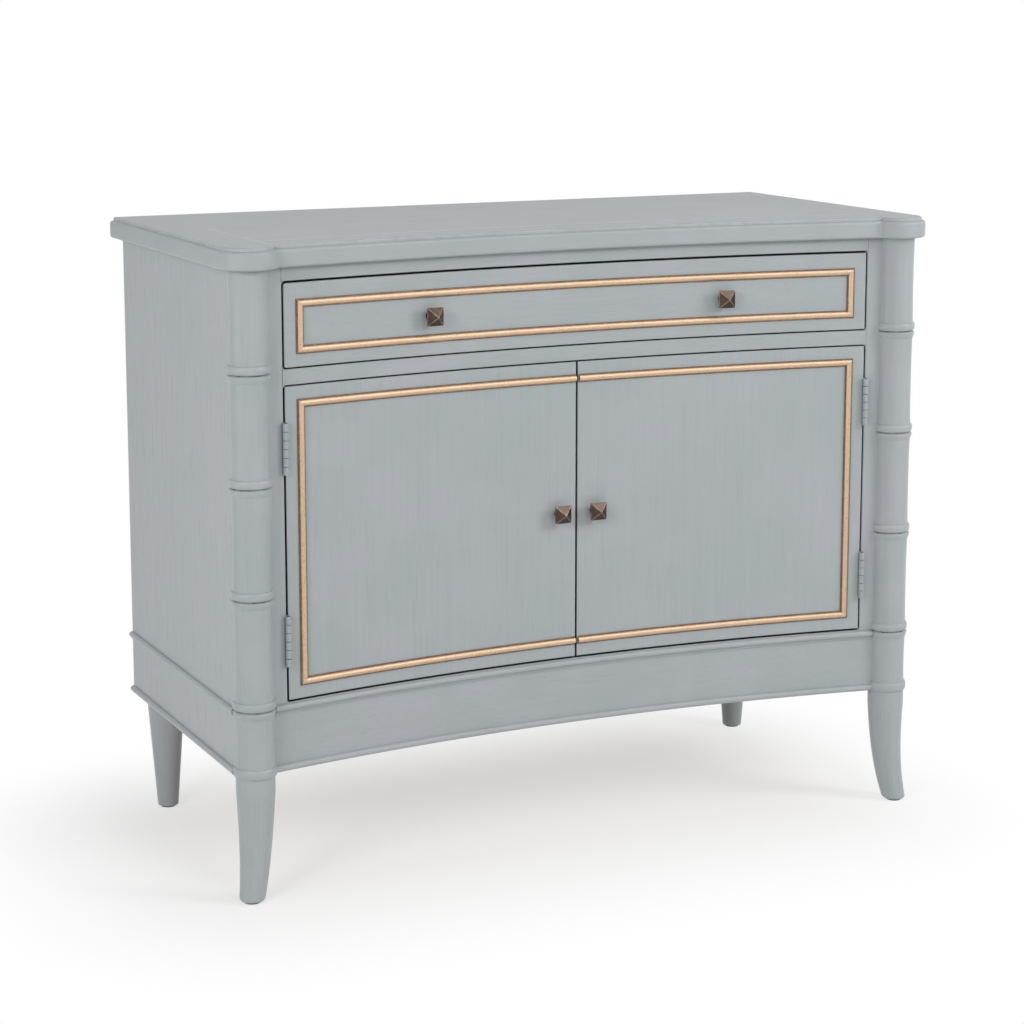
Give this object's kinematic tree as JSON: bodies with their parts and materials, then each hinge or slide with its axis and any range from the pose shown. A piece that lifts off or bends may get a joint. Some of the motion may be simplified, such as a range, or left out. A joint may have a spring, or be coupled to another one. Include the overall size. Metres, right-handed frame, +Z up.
{
  "type": "side cabinet",
  "caption": "Side cabinet with a concave front: a wide drawer over curved doors, between bamboo-turned corner columns on sabre legs.",
  "frame": {"origin": "on the floor, under the centre of the top", "axes": "+X to the cabinet's right as seen from the front, +Y to the back, +Z up; the drawer and the doors face -Y"},
  "size_m": [1.082, 0.513, 0.88],
  "materials": {
    "bare_wood": "planed and sealed, matt",
    "bronze": "dark aged bronze with worn edges",
    "brown_plastic": "plain brown, matt",
    "gilt": "antique gold leaf over wood, rubbed to brown at the edges",
    "painted_hinge": "painted over with the cabinet, satin",
    "painted_wood": "hand-brushed satin paint, blue-grey, with fine brush lines and worn specks",
    "steel": "plain zinc-plated steel"
  },
  "bodies": {
    "carcass": {"top_field_panel": "painted_wood", "top_front_border": "painted_wood", "top_end_left": "painted_wood", "top_end_right": "painted_wood", "side_panel_left": "painted_wood", "side_panel_right": "painted_wood", "back_panel": "bare_wood", "corner_column_left": "painted_wood", "corner_column_right": "painted_wood", "front_leg_left": "painted_wood", "front_leg_right": "painted_wood", "rear_leg_left": "painted_wood", "rear_leg_right": "painted_wood", "rear_post_left": "painted_wood", "rear_post_right": "painted_wood", "foot_glides": "brown_plastic", "stile_left": "painted_wood", "stile_right": "painted_wood", "top_rail": "painted_wood", "middle_rail": "painted_wood", "front_apron": "painted_wood", "apron_upper_bead": "painted_wood", "apron_lower_bead": "painted_wood", "side_beads_left": "painted_wood", "side_beads_right": "painted_wood", "rear_top_rail": "bare_wood", "rear_bottom_rail": "painted_wood", "cabinet_floor": "bare_wood", "floor_cleats": "bare_wood", "dust_panel": "bare_wood", "shelf": "bare_wood", "shelf_pins": "steel", "drawer_runner_left": "bare_wood", "drawer_runner_right": "bare_wood", "drawer_kickers": "bare_wood", "frame_hinge_leaves": "painted_hinge", "hinge_pins": "steel", "door_catches": "brown_plastic"},
    "drawer": {"drawer_front": "painted_wood", "drawer_side_left": "bare_wood", "drawer_side_right": "bare_wood", "drawer_back": "bare_wood", "drawer_bottom": "bare_wood", "drawer_trim": "gilt", "drawer_knob_left": "bronze", "drawer_knob_right": "bronze", "drawer_knob_screws": "steel"},
    "left_door": {"left_door": "painted_wood", "left_door_trim": "gilt", "left_door_knob": "bronze", "left_door_knob_screw": "steel", "left_door_hinge_leaves": "painted_hinge", "left_door_strike": "steel"},
    "right_door": {"right_door": "painted_wood", "right_door_trim": "gilt", "right_door_knob": "bronze", "right_door_knob_screw": "steel", "right_door_hinge_leaves": "painted_hinge", "right_door_strike": "steel"}
  },
  "joints": [
    {"name": "drawer_slide", "type": "slide", "parent": "carcass", "child": "drawer", "axis": [0, -1, 0], "range_m": [0, 0.3]},
    {"name": "left_door_hinge", "type": "hinge", "parent": "carcass", "child": "left_door", "pos_m": [-0.451, -0.2176, 0.4795], "axis": [0, 0, -1], "range_deg": [0, 120]},
    {"name": "right_door_hinge", "type": "hinge", "parent": "carcass", "child": "right_door", "pos_m": [0.451, -0.2176, 0.4795], "axis": [0, 0, 1], "range_deg": [0, 120]}
  ]
}
